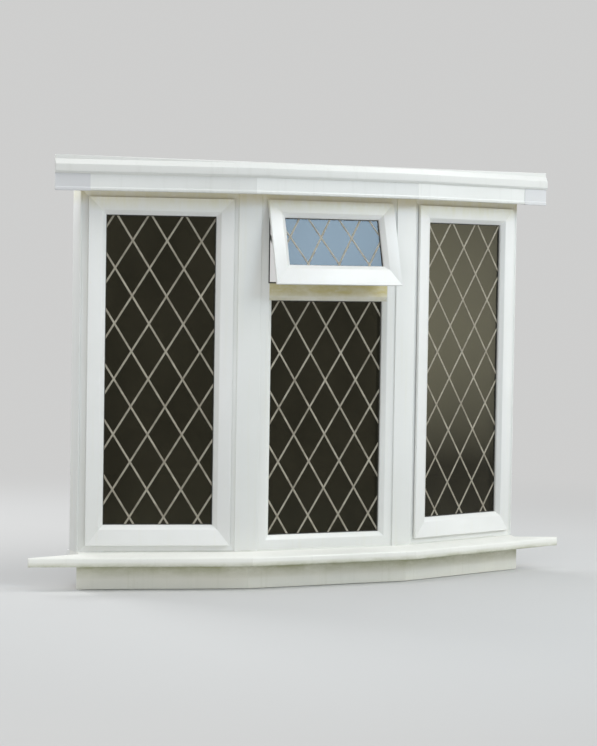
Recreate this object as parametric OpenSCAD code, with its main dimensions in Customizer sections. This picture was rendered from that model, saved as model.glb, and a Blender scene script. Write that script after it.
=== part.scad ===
// Three-light bay window that stands out of a flat wall, in millimetres.
// X runs along the wall, -Y points out of the wall and Z is up. Y = 0 is the wall face.
// The origin is on the back of the fixing rail, at its middle and on the line of its bolts.

/* [Lights] */
// Width of the centre light's frame
centre_w = 560; // [480:5:700]
// Width of each side light's frame
side_w = 562; // [480:2:700]
// Height of the three frames
frame_h = 1280; // [1150:5:1500]
// Angle between the centre light and each side light, in degrees
bay_angle = 17; // [14:1:20]
// How far the centre light's face stands out of the wall face
bay_proj = 148; // [140:2:170]
// Half the width of a corner post, measured along each light
post_half = 38; // [32:1:48]

/* [Frame profile] */
// Depth of every frame from front to back
frame_d = 60; // [56:1:70]
// Width of a frame from its outer edge to the glass
frame_face = 54; // [48:1:62]
// Width of a frame where a sash covers it
frame_open = 42; // [40:1:46]
// Width of the slope that runs down to the glass
slope_w = 16; // [8:1:20]
// Depth of that slope
slope_d = 12; // [6:1:15]
// How far the rebate reaches behind the frame's inner edge
rebate = 18; // [14:1:22]
// How far a bar or frame covers the edge of the glass
glass_cover = 12; // [8:1:13]
// Thickness of a sealed glass unit
glass_t = 24; // [18:1:28]
// Depth of the glass behind the face that it sits in
glass_inset = 20; // [17:1:23]
// Slope on the inner edge of an inside bead
bead_slope = 7; // [3:1:9]

/* [Sashes] */
// Gap from the frame's outer edge to the sash
sash_margin = 22; // [16:1:26]
// How far a sash stands proud of the frame
sash_proud = 12; // [8:1:16]
// Depth of a sash from front to back
sash_d = 60; // [54:1:66]
// Width of a sash from its edge to the glass
sash_face = 63; // [60:1:72]
// Height of a sash's bottom rail
sash_bottom = 74; // [62:1:84]
// Gap round the back part of a sash, where the stays lie
sash_gap = 12; // [11:1:14]
// Height of the opening for the vent, above the transom
vent_h = 272; // [240:2:320]
// Height of the transom
transom_h = 66; // [54:1:72]
// Gap from the centre frame's outer edge to the vent's side
vent_side = 26; // [22:1:30]
// Width of the centre frame's sides where the vent covers them
vent_jamb = 40; // [39:1:42]
// Angle at which the top vent stands open
vent_open = 15; // [8:1:16]

/* [Sill and apron] */
// How far the sill stands out from the frames
sill_out = 89; // [78:1:105]
// Thickness of the sill under the frames
sill_t = 30; // [26:1:38]
// Fall of the sill's top from the frames to its nose
sill_fall = 12; // [6:1:16]
// Thickness of the sill's nose
nose_t = 14; // [10:1:18]
// How far the nose hangs below the sill
nose_drop = 14; // [8:1:20]
// How far each sill horn runs past the side of the opening
horn_len = 192; // [150:2:200]
// How far the apron's face stands out from the frames
apron_out = 31; // [26:1:40]
// Thickness of the apron boards
apron_t = 12; // [9:1:15]
// Rounding of the edges of the sill, apron and fascia
edge_r = 4; // [2:0.5:5]

/* [Base] */
// Thickness of the base board that the sill lies on
base_t = 20; // [16:1:28]
// How far the base board reaches behind the frames
back_margin = 15; // [8:1:40]
// Height of the fixing rail on the wall face
rail_h = 70; // [60:1:90]
// Thickness of the fixing rail
rail_t = 25; // [20:1:35]
// Radius of a fixing bolt's hole in the rail
bolt_r = 5; // [4:0.5:7]
// Distance between the two outer fixing bolts
bolt_span = 1200; // [900:10:1300]
// Width of a bracket between the rail and the apron
bracket_w = 45; // [35:1:60]
// Distance between the two brackets
bracket_span = 360; // [240:10:420]
// Thickness of the board that closes the underside
soffit_t = 10; // [6:1:14]
// Thickness of the window board inside
board_t = 30; // [22:1:38]
// How far the window board stands past the base board into the room
board_nose = 25; // [15:1:60]

/* [Head] */
// Thickness of the head board on the frames
head_t = 18; // [15:1:24]
// Height of the lower fascia band
fascia_h = 59; // [50:1:72]
// Thickness of the lower fascia band
fascia_t = 15; // [10:1:20]
// How far the lower fascia band stands out from the frames
fascia_out = 66; // [58:1:72]
// How far the lower fascia band hangs below the head board
fascia_drop = 4; // [2:1:10]
// How far the roof edge stands proud of the lower band
roof_proud = 8; // [5:1:14]
// Height of the roof edge at the front
roof_h = 50; // [40:1:60]
// Rise of the roof from its front edge to the wall
roof_rise = 15; // [8:1:30]
// How far the roof edge's foot stands proud of the lower band
foot_proud = 2; // [1:0.5:4]
// Height of the slope from that foot to the roof edge's face
cove_h = 8; // [4:1:14]
// Height of the roof edge's upright face
face_h = 24; // [14:1:28]
// Width of the slope on top of the roof edge
brow_w = 12; // [6:1:16]
// How far the fascia runs past the side of the opening
fascia_lap = 110; // [90:2:114]

/* [Fittings] */
// Width of the jamb piece between a side light and the wall
jamb_w = 6; // [4:1:9]
// How far a post's cover stands proud of the frames
cover_proud = 4; // [2:0.5:8]
// How far a post's cover laps over the frames
cover_lap = 6; // [3:1:10]
// Slope on the edges of that cover
cover_edge = 2; // [1:0.5:3]
// Thickness of a vent stay's metal
stay_t = 2.5; // [2:0.25:3]
// Width of a vent stay's metal
stay_w = 16; // [12:1:18]
// Length of a vent stay's track
stay_len = 160; // [140:5:170]
// Distance of the track's middle behind the frame's face
track_y = 20; // [18:1:24]
// Distance of the track's top below the frame
track_drop = 4; // [2:1:8]
// Distance from the track's top to the upper pin
shoe_drop = 24; // [20:1:30]
// Distance from the track's top to the arm's lower pin
foot_drop = 100; // [80:2:120]
// Width of a stay's arm
arm_w = 13; // [10:1:15]
// Radius of a stay's pins
pin_r = 3.5; // [2.5:0.5:4.5]
// Length of the vent handle
handle_len = 110; // [80:5:140]
// Width of the handle's base
handle_base_w = 55; // [45:1:65]
// Height of the handle's base
handle_base_h = 19; // [16:1:22]
// Thickness of the handle's base
handle_base_t = 6; // [4:1:8]
// Gap between the base and the lever
handle_gap = 12; // [8:1:18]
// Thickness of the lever
lever_t = 10; // [8:1:13]
// Radius of the lever's round ends
lever_r = 8; // [6:0.5:9]

/* [Hidden] */

// Gap left between pieces that meet at an angle
seat = 0.2;
// Overshoot of a cutting shape
over = 1;
// Reach of a cutting shape that has to pass every piece
reach = 2400;

// Heights, from the line of the fixing bolts
base_z = rail_h / 2;
sill_z = base_z + base_t;
frame_z = sill_z + sill_t;
head_z = frame_z + frame_h;
bottom_z = -rail_h / 2 - soffit_t;
fascia_z = head_z - fascia_drop;
roof_z = fascia_z + fascia_h;

// Plan
corner_x = centre_w / 2 + post_half;
light_end = post_half + side_w + seat;
jamb_x = corner_x + (post_half + side_w) * cos(bay_angle) + jamb_w;
base_back = side_pt(-frame_d, light_end)[1] + back_margin;
board_back = base_back + board_nose;
horn_x = jamb_x + horn_len;
fascia_x = jamb_x + fascia_lap;
roof_out = fascia_out + roof_proud;
board_out = apron_out - apron_t - seat;

// Centre light, in its own frame of reference
vent_z1 = frame_h - frame_open;
vent_z0 = vent_z1 - vent_h;
transom_z = vent_z0 - transom_h;
sash_lap = frame_open - sash_margin;
vent_sash_z = vent_z0 - sash_lap;
vent_sash_h = vent_z1 + sash_lap - vent_sash_z;
vent_sash_w = centre_w - 2 * vent_side;
side_sash_w = side_w - 2 * sash_margin;
side_sash_h = frame_h - 2 * sash_margin;
sash_inset = sash_lap + sash_gap;
vent_inset = vent_jamb - vent_side + sash_gap;
frame_bead_y = glass_inset + glass_t;
sash_glass_y = glass_inset - sash_proud;
sash_bead_y = sash_glass_y + glass_t;
sash_back = sash_d - sash_proud;

// A point on the mitre line, out from the frames' faces, and shift along X
function mitre_pt(out, shift = 0) = [corner_x + out * tan(bay_angle / 2) + shift, -bay_proj - out];

// A point on the right-hand side light's line
function side_pt(out, along) = [
    corner_x + along * cos(bay_angle) + out * sin(bay_angle),
    -bay_proj + along * sin(bay_angle) - out * cos(bay_angle)
];

// Where that line, out from the frames' faces, meets a plane parallel to the wall
function meet_x(out, y) = corner_x + out * sin(bay_angle)
    + (y + bay_proj + out * cos(bay_angle)) / tan(bay_angle);

// How far back that line is at a place along the wall
function line_y(out, x) = (x - corner_x - out * sin(bay_angle)) * tan(bay_angle)
    - bay_proj - out * cos(bay_angle);

// The same points on both sides, for an outline that is symmetric about X = 0
function both(half) = concat(half, [for (i = [len(half) - 1 : -1 : 0]) [-half[i][0], half[i][1]]]);

// Profiles are lists of [out from the frames' faces, height]
function sill_profile() = [
    [-frame_d, sill_z],
    [-frame_d, frame_z],
    [0, frame_z],
    [sill_out - edge_r, frame_z - sill_fall],
    [sill_out, frame_z - sill_fall - edge_r],
    [sill_out, sill_z - nose_drop + edge_r],
    [sill_out - edge_r, sill_z - nose_drop],
    [sill_out - nose_t, sill_z - nose_drop],
    [sill_out - nose_t, sill_z]
];
function apron_profile() = [
    [apron_out - apron_t, bottom_z],
    [apron_out - edge_r, bottom_z],
    [apron_out, bottom_z + edge_r],
    [apron_out, sill_z - seat],
    [apron_out - apron_t, sill_z - seat]
];
function fascia_profile() = [
    [fascia_out - fascia_t, fascia_z],
    [fascia_out - edge_r, fascia_z],
    [fascia_out, fascia_z + edge_r],
    [fascia_out, roof_z],
    [fascia_out - fascia_t, roof_z]
];
function roof_profile() = [
    [-bay_proj - over, roof_z],
    [fascia_out + foot_proud, roof_z],
    [roof_out, roof_z + cove_h],
    [roof_out, roof_z + cove_h + face_h],
    [roof_out - brow_w, roof_z + roof_h],
    [roof_out - brow_w, roof_z + roof_h + roof_rise + over],
    [-bay_proj - over, roof_z + roof_h + roof_rise + over]
];

module white() {
    color("whitesmoke") children();
}

module timber() {
    color("burlywood") children();
}

// Puts a shape that is drawn along X, with its front at Y = 0, at the middle, right or left light
module at_centre() {
    translate([0, -bay_proj, 0]) children();
}

module at_right() {
    translate([corner_x, -bay_proj, 0]) rotate([0, 0, bay_angle]) children();
}

module at_left() {
    mirror([1, 0, 0]) at_right() children();
}

module centre_unit_place() {
    at_centre() translate([-centre_w / 2, 0, frame_z]) children();
}

module right_unit_place() {
    at_right() translate([post_half, 0, frame_z]) children();
}

module left_unit_place() {
    mirror([1, 0, 0]) right_unit_place() children();
}

// A profile swept along X, from x0 to x1
module sweep(profile, x0, x1) {
    translate([x0, 0, 0]) rotate([90, 0, 90]) linear_extrude(x1 - x0)
        polygon([for (p = profile) [-p[0], p[1]]]);
}

// The space of the centre piece, between its two mitres
module centre_space() {
    translate([0, 0, -reach]) linear_extrude(2 * reach)
        polygon(both([mitre_pt(-frame_d - over, -seat / 2), mitre_pt(sill_out + over, -seat / 2)]));
}

// The space of a right-hand piece in front of the wall, from its mitre to a square end
module side_space(end_x, gap) {
    start = mitre_pt(sill_out + over, gap);
    translate([0, 0, -reach]) linear_extrude(2 * reach) polygon([
        start,
        [end_x, start[1]],
        [end_x, 0],
        mitre_pt(-bay_proj, gap)
    ]);
}

// The same space, with the part inside the wall's opening
module sill_space() {
    start = mitre_pt(sill_out + over, seat / 2);
    translate([0, 0, -reach]) linear_extrude(2 * reach) polygon([
        start,
        [horn_x, start[1]],
        [horn_x, 0],
        [jamb_x, 0],
        [jamb_x, base_back],
        mitre_pt(-bay_proj - base_back, seat / 2)
    ]);
}

module centre_run(profile) {
    intersection() {
        at_centre() sweep(profile, -corner_x - reach / 4, corner_x + reach / 4);
        centre_space();
    }
}

module right_run(profile, end_x, gap = seat / 2) {
    intersection() {
        at_right() sweep(profile, -reach / 4, reach / 2);
        side_space(end_x, gap);
    }
}

// Widens the opening x0..x1, z0..z1 towards the front face, by slope_w at y = 0
module slope_cut(x0, x1, z0, z1, w = slope_w, d = slope_d) {
    wide = w * (1 + over / d);
    intersection() {
        translate([0, 0, z0 - 2 * w]) linear_extrude(z1 - z0 + 4 * w)
            polygon([[x0 - wide, -over], [x1 + wide, -over], [x1, d], [x0, d]]);
        translate([x0 - 2 * w, 0, 0]) rotate([90, 0, 90]) linear_extrude(x1 - x0 + 4 * w)
            polygon([[-over, z0 - wide], [-over, z1 + wide], [d, z1], [d, z0]]);
    }
}

// A box given by its two corners
module block(a, b) {
    translate(a) cube(b - a);
}

// Outer frame of a side light, open for its sash
module side_frame() {
    difference() {
        cube([side_w, frame_d, frame_h]);
        block([frame_open, -over, frame_open], [side_w - frame_open, frame_d + over, frame_h - frame_open]);
    }
}

// What the lower centre pane takes out of the frame and the transom round it
module pane_cuts() {
    slope_cut(frame_face, centre_w - frame_face, frame_face, transom_z);
    block(
        [frame_face - rebate, glass_inset, frame_face - rebate],
        [centre_w - frame_face + rebate, frame_d + over, transom_z + rebate]
    );
}

// Outer frame of the centre light, open for its transom and vent
module centre_light_frame() {
    difference() {
        cube([centre_w, frame_d, frame_h]);
        block([frame_face, -over, frame_face], [centre_w - frame_face, frame_d + over, transom_z + over]);
        pane_cuts();
        block([vent_jamb, -over, transom_z], [centre_w - vent_jamb, frame_d + over, vent_z1]);
    }
}

// A sash with its lower left corner at the origin and its seat on the frame at y = 0
module sash(w, h, inset = sash_inset) {
    difference() {
        union() {
            block([0, -sash_proud, 0], [w, -seat, h]);
            block([inset, -sash_proud, sash_inset], [w - inset, sash_back, h - sash_inset]);
        }
        block(
            [sash_face, -sash_proud - over, sash_bottom],
            [w - sash_face, sash_back + over, h - sash_face]
        );
        translate([0, -sash_proud, 0]) slope_cut(sash_face, w - sash_face, sash_bottom, h - sash_face);
        block(
            [sash_face - rebate, sash_glass_y, sash_bottom - rebate],
            [w - sash_face + rebate, sash_back + over, h - sash_face + rebate]
        );
    }
}

// A glass unit behind an opening x0..x1, z0..z1, with its front at y
module glass_unit(x0, x1, z0, z1, y) {
    block(
        [x0 - glass_cover, y + seat, z0 - glass_cover],
        [x1 + glass_cover, y + glass_t - seat, z1 + glass_cover]
    );
}

// A ring of inside beads from the glass to the frame's back
module bead_ring(x0, x1, z0, z1, y, back) {
    difference() {
        block([x0 - rebate + seat, y, z0 - rebate + seat], [x1 + rebate - seat, back, z1 + rebate - seat]);
        block([x0, y - over, z0], [x1, back + over, z1]);
        translate([0, back, 0]) mirror([0, 1, 0]) slope_cut(x0, x1, z0, z1, bead_slope, bead_slope);
    }
}

module sash_glass(w, h) {
    glass_unit(sash_face, w - sash_face, sash_bottom, h - sash_face, sash_glass_y);
}

module sash_bead(w, h) {
    bead_ring(sash_face, w - sash_face, sash_bottom, h - sash_face, sash_bead_y, sash_back);
}

module side_sash_place() {
    translate([sash_margin, 0, sash_margin]) children();
}

// Turns the vent about the top back edge of its lap
module vent_place() {
    centre_unit_place() translate([vent_side, 0, vent_sash_z + vent_sash_h])
        rotate([-vent_open, 0, 0]) translate([0, 0, -vent_sash_h]) children();
}

module left_frame() {
    white() left_unit_place() side_frame();
}

module centre_frame() {
    white() centre_unit_place() centre_light_frame();
}

module right_frame() {
    white() right_unit_place() side_frame();
}

module centre_transom() {
    white() centre_unit_place() difference() {
        block([vent_jamb, 0, transom_z], [centre_w - vent_jamb, frame_d, vent_z0]);
        pane_cuts();
    }
}

module left_sash() {
    white() left_unit_place() side_sash_place() sash(side_sash_w, side_sash_h);
}

module right_sash() {
    white() right_unit_place() side_sash_place() sash(side_sash_w, side_sash_h);
}

module vent_sash() {
    white() vent_place() sash(vent_sash_w, vent_sash_h, vent_inset);
}

module left_glass() {
    color("lightsteelblue") left_unit_place() side_sash_place() sash_glass(side_sash_w, side_sash_h);
}

module right_glass() {
    color("lightsteelblue") right_unit_place() side_sash_place() sash_glass(side_sash_w, side_sash_h);
}

module lower_glass() {
    color("lightsteelblue") centre_unit_place()
        glass_unit(frame_face, centre_w - frame_face, frame_face, transom_z, glass_inset);
}

module vent_glass() {
    color("lightsteelblue") vent_place() sash_glass(vent_sash_w, vent_sash_h);
}

module left_bead() {
    white() left_unit_place() side_sash_place() sash_bead(side_sash_w, side_sash_h);
}

module right_bead() {
    white() right_unit_place() side_sash_place() sash_bead(side_sash_w, side_sash_h);
}

module lower_bead() {
    white() centre_unit_place()
        bead_ring(frame_face, centre_w - frame_face, frame_face, transom_z, frame_bead_y, frame_d);
}

module vent_bead() {
    white() vent_place() sash_bead(vent_sash_w, vent_sash_h);
}

// Post that fills the wedge between the centre light and a side light, with a cover in front
module post_shape() {
    near = centre_w / 2 + seat;
    translate([0, 0, frame_z]) linear_extrude(frame_h) polygon([
        [near, -bay_proj + frame_d],
        [near, -bay_proj - seat],
        [near - cover_lap, -bay_proj - seat],
        [near - cover_lap, -bay_proj - cover_proud + cover_edge],
        [near - cover_lap + cover_edge, -bay_proj - cover_proud],
        side_pt(cover_proud, post_half - seat + cover_lap - cover_edge),
        side_pt(cover_proud - cover_edge, post_half - seat + cover_lap),
        side_pt(seat, post_half - seat + cover_lap),
        side_pt(seat, post_half - seat),
        side_pt(-frame_d, post_half - seat)
    ]);
}

module right_post() {
    white() post_shape();
}

module left_post() {
    white() mirror([1, 0, 0]) post_shape();
}

// Wedge between the end of a side light and the side of the opening
module jamb_shape() {
    front = side_pt(0, light_end);
    rear = side_pt(-frame_d, light_end);
    translate([0, 0, frame_z]) linear_extrude(frame_h) polygon([
        front,
        [jamb_x, front[1]],
        [jamb_x, base_back],
        [rear[0], base_back],
        rear
    ]);
}

module right_jamb() {
    white() jamb_shape();
}

module left_jamb() {
    white() mirror([1, 0, 0]) jamb_shape();
}

// A pin across the stay, centred at y, z
module stay_pin(x, len, y, z) {
    translate([x, y, z]) rotate([0, 90, 0]) cylinder(h = len, r = pin_r, $fn = 24);
}

// Friction stay at the vent's left side: a track on the frame, a plate on the sash and an arm
module stay_shape() {
    track_x = vent_jamb + seat;
    arm_x = vent_jamb + (sash_gap - stay_t) / 2;
    plate_x = vent_jamb + sash_gap - seat - stay_t;
    plate_y = sash_back / 2;
    top_z = vent_z1 - track_drop;
    hinge_z = vent_sash_z + vent_sash_h;
    foot = [track_y, top_z - foot_drop];
    low = [
        plate_y * cos(vent_open) - stay_len * sin(vent_open),
        hinge_z - plate_y * sin(vent_open) - stay_len * cos(vent_open)
    ];
    arm = low - foot;
    block(
        [track_x, track_y - stay_w / 2, top_z - stay_len],
        [track_x + stay_t, track_y + stay_w / 2, top_z]
    );
    translate([plate_x, 0, hinge_z]) rotate([-vent_open, 0, 0]) block(
        [0, plate_y - stay_w / 2, -stay_len - stay_w / 2],
        [stay_t, plate_y + stay_w / 2, -sash_inset - 2 * seat]
    );
    translate([arm_x, foot[0], foot[1]]) rotate([atan2(arm[1], arm[0]), 0, 0])
        block([0, -arm_w / 2, -arm_w / 2], [stay_t, norm(arm) + arm_w / 2, arm_w / 2]);
    stay_pin(track_x, arm_x - track_x + stay_t, foot[0], foot[1]);
    stay_pin(arm_x, plate_x + stay_t - arm_x, low[0], low[1]);
    stay_pin(track_x, plate_x + stay_t - track_x, track_y - stay_w / 4, top_z - shoe_drop);
}

module vent_stay_left() {
    color("silver") centre_unit_place() stay_shape();
}

module vent_stay_right() {
    color("silver") centre_unit_place() translate([centre_w, 0, 0]) mirror([1, 0, 0]) stay_shape();
}

// A round boss of the handle, from the vent's back
module handle_boss(x, y0, y1) {
    translate([x, y0, 0]) rotate([-90, 0, 0]) cylinder(h = y1 - y0, r = lever_r, $fn = 48);
}

// Handle on the room side of the vent's bottom rail
module vent_handle() {
    rail_z = (sash_inset + sash_bottom - rebate) / 2;
    lever_y = sash_back + handle_base_t + handle_gap;
    tip_x = handle_len - 2 * lever_r;
    color("whitesmoke") vent_place() translate([vent_sash_w / 2, 0, rail_z]) {
        block(
            [-handle_base_w / 2, sash_back + seat, -handle_base_h / 2],
            [handle_base_w / 2, sash_back + handle_base_t, handle_base_h / 2]
        );
        handle_boss(0, sash_back + seat, lever_y + lever_t);
        block([0, lever_y, -lever_r], [tip_x, lever_y + lever_t, lever_r]);
        handle_boss(tip_x, lever_y, lever_y + lever_t);
    }
}

module sill_side() {
    intersection() {
        at_right() sweep(sill_profile(), -reach / 4, reach / 2);
        sill_space();
    }
}

module sill_left() {
    white() mirror([1, 0, 0]) sill_side();
}

module sill_centre() {
    white() centre_run(sill_profile());
}

module sill_right() {
    white() sill_side();
}

module apron_left() {
    white() mirror([1, 0, 0]) right_run(apron_profile(), horn_x);
}

module apron_centre() {
    white() centre_run(apron_profile());
}

module apron_right() {
    white() right_run(apron_profile(), horn_x);
}

// A board whose front follows the three lights, out from their faces, up to the wall face
module bay_board(out, z0, z1, end_x) {
    points = end_x < meet_x(out, 0)
        ? [mitre_pt(out), [end_x, line_y(out, end_x)], [end_x, 0]]
        : [mitre_pt(out), [meet_x(out, 0), 0]];
    translate([0, 0, z0]) linear_extrude(z1 - z0) polygon(both(points));
}

// The same board, carried on into the wall's opening
module opening_board(out, z0, z1, back) {
    translate([0, 0, z0]) linear_extrude(z1 - z0) polygon(both([
        mitre_pt(out),
        [meet_x(out, 0), 0],
        [jamb_x, 0],
        [jamb_x, back]
    ]));
}

module base_board() {
    timber() opening_board(board_out, base_z, sill_z, base_back);
}

module bottom_soffit() {
    white() bay_board(board_out, bottom_z, bottom_z + soffit_t, horn_x);
}

// Rail that is bolted to the wall face and carries the base
module fixing_rail() {
    half = meet_x(board_out, -rail_t) - seat;
    timber() difference() {
        block([-half, -rail_t, -rail_h / 2], [half, 0, rail_h / 2]);
        for (x = [-0.5, -0.25, 0.25, 0.5])
            translate([x * bolt_span, over, 0]) rotate([90, 0, 0])
                cylinder(h = rail_t + 2 * over, r = bolt_r, $fn = 48);
    }
}

module bracket_shape() {
    timber() block(
        [bracket_span / 2 - bracket_w / 2, -bay_proj - board_out, -rail_h / 2],
        [bracket_span / 2 + bracket_w / 2, -rail_t, rail_h / 2]
    );
}

module bracket_left() {
    mirror([1, 0, 0]) bracket_shape();
}

module bracket_right() {
    bracket_shape();
}

// Board inside, from the back of the frames into the room
module window_board() {
    rear = -frame_d - seat;
    white() difference() {
        translate([0, 0, sill_z]) linear_extrude(board_t) polygon(both([
            mitre_pt(rear),
            [jamb_x, line_y(rear, jamb_x)],
            [jamb_x, board_back]
        ]));
        translate([0, board_back, sill_z + board_t]) rotate([45, 0, 0])
            cube([2 * reach, edge_r * 2, edge_r * 2], center = true);
    }
}

module head_board() {
    timber() opening_board(fascia_out - fascia_t - seat, head_z, head_z + head_t, base_back);
}

module roof_core() {
    timber() bay_board(fascia_out - fascia_t - seat, head_z + head_t, roof_z, fascia_x);
}

// Roof in one piece, with a fall from the wall to its front edge
module roof_cover() {
    front = bay_proj + roof_out;
    white() intersection() {
        union() {
            intersection() {
                at_centre() sweep(roof_profile(), -corner_x - reach / 4, corner_x + reach / 4);
                translate([0, 0, -reach]) linear_extrude(2 * reach)
                    polygon(both([mitre_pt(-bay_proj), mitre_pt(sill_out + over)]));
            }
            right_run(roof_profile(), fascia_x, 0);
            mirror([1, 0, 0]) right_run(roof_profile(), fascia_x, 0);
        }
        translate([-reach, 0, 0]) rotate([90, 0, 90]) linear_extrude(2 * reach) polygon([
            [0, roof_z],
            [0, roof_z + roof_h + roof_rise],
            [-front, roof_z + roof_h],
            [-front, roof_z]
        ]);
    }
}

module fascia_left() {
    white() mirror([1, 0, 0]) right_run(fascia_profile(), fascia_x);
}

module fascia_centre() {
    white() centre_run(fascia_profile());
}

module fascia_right() {
    white() right_run(fascia_profile(), fascia_x);
}

left_frame();
centre_frame();
right_frame();
centre_transom();
left_sash();
right_sash();
vent_sash();
left_glass();
right_glass();
lower_glass();
vent_glass();
left_bead();
right_bead();
lower_bead();
vent_bead();
left_post();
right_post();
left_jamb();
right_jamb();
vent_stay_left();
vent_stay_right();
vent_handle();
sill_left();
sill_centre();
sill_right();
apron_left();
apron_centre();
apron_right();
base_board();
fixing_rail();
bracket_left();
bracket_right();
bottom_soffit();
window_board();
head_board();
roof_core();
roof_cover();
fascia_left();
fascia_centre();
fascia_right();
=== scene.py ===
import math

import bmesh
import bpy
from mathutils import Matrix, Vector


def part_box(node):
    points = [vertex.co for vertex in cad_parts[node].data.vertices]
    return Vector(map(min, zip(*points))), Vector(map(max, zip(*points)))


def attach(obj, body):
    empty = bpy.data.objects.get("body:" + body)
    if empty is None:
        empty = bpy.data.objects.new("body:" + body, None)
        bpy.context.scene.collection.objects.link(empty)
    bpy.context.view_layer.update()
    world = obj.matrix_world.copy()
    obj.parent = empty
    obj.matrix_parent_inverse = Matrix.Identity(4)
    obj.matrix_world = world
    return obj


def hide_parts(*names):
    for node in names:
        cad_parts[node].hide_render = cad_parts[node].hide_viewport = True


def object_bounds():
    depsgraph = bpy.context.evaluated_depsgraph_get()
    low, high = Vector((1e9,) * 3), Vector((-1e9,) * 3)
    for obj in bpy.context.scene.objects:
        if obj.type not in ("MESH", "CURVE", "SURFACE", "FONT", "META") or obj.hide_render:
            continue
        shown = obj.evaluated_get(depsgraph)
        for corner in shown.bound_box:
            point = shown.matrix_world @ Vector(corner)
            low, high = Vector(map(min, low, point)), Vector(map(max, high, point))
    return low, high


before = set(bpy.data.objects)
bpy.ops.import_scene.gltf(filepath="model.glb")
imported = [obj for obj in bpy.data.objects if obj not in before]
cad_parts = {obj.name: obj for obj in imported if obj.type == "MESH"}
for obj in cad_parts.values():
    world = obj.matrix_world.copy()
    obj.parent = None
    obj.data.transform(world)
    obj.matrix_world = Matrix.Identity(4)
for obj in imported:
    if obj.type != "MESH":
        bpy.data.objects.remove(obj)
cadLow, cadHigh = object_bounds()
mm = 0.001
seat = 0.2 * mm  # play between pieces that touch
weld = 0.01 * mm  # points closer than this are merged
seamDepth = 0.4 * mm  # groove at a welded mitre

# The driving sizes of the bay, most of them read from the frame itself
lightLow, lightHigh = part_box("centre_frame")
bay = {
    "angle": math.radians(17),  # that a side light turns back from the centre light
    "postHalf": 38 * mm,
    "sideWidth": 562 * mm,
    "depth": lightHigh.y - lightLow.y,
    "proj": -lightLow.y,  # how far the centre light's face stands out from the wall
    "halfCentre": lightHigh.x,
    "frameZ": lightLow.z,
    "headZ": lightHigh.z,
    "sillZ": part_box("base_board")[1].z,
    "bottomZ": cadLow.z,
    "roofZ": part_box("roof_cover")[0].z,
    "jambX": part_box("window_board")[1].x,
    "hornX": cadHigh.x,
    "fasciaX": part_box("fascia_right")[1].x,
}
bay["cornerX"] = bay["halfCentre"] + bay["postHalf"]
bay["height"] = bay["headZ"] - bay["frameZ"]


def roundOff(corners, steps=5):
    # corners are (across, up, radius), and the radius turns a corner into an arc
    out = []
    for i, (a, b, radius) in enumerate(corners):
        here = Vector((a, b))
        if radius <= 0:
            out.append(here)
            continue
        back = (Vector(corners[i - 1][:2]) - here).normalized()
        ahead = (Vector(corners[(i + 1) % len(corners)][:2]) - here).normalized()
        half = back.angle(ahead) / 2
        centre = here + (back + ahead).normalized() * radius / math.sin(half)
        start = here + back * radius / math.tan(half) - centre
        end = here + ahead * radius / math.tan(half) - centre
        turn = start.angle_signed(end)
        for k in range(steps + 1):
            out.append(centre + Matrix.Rotation(-turn * k / steps, 2) @ start)
    return out


def newPiece(name, mesh, material, sharp=35):
    # an object at the origin, shaded smooth except at edges sharper than so many degrees
    mesh.materials.clear()
    mesh.materials.append(material)
    for face in mesh.polygons:
        face.use_smooth = True
    mesh.set_sharp_from_angle(angle=math.radians(sharp))
    piece = bpy.data.objects.new(name, mesh)
    bpy.context.scene.collection.objects.link(piece)
    return piece


def asMesh(shape, name, place=Matrix.Identity(4)):
    # closes a bmesh: doubles merged, faces outward, then moved to its place
    bmesh.ops.remove_doubles(shape, verts=shape.verts, dist=weld)
    bmesh.ops.recalc_face_normals(shape, faces=shape.faces)
    mesh = bpy.data.meshes.new(name)
    shape.to_mesh(mesh)
    shape.free()
    mesh.transform(place)
    return mesh


def plainMesh(piece):
    # what the modifiers make of a piece, as a mesh of its own
    view = bpy.context.evaluated_depsgraph_get()
    mesh = bpy.data.meshes.new_from_object(piece.evaluated_get(view), depsgraph=view)
    mesh.name = piece.name
    bpy.data.objects.remove(piece)
    return mesh


softEdges = {"steps": 3, "flat": math.radians(1), "sharper": math.radians(28)}


def softCopy(node, name, material, width):
    # a merged copy of a CAD node, with its sharper edges rounded to this width
    shape = bmesh.new()
    shape.from_mesh(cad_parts[node].data)
    bmesh.ops.remove_doubles(shape, verts=shape.verts, dist=weld)
    bmesh.ops.dissolve_limit(
        shape, angle_limit=softEdges["flat"], verts=shape.verts, edges=shape.edges
    )
    piece = newPiece(name, asMesh(shape, name), material)
    bevel = piece.modifiers.new("edges", "BEVEL")
    bevel.width, bevel.segments, bevel.limit_method = width, softEdges["steps"], "ANGLE"
    bevel.angle_limit = softEdges["sharper"]
    piece = newPiece(name, plainMesh(piece), material)
    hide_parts(node)
    return piece


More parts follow.
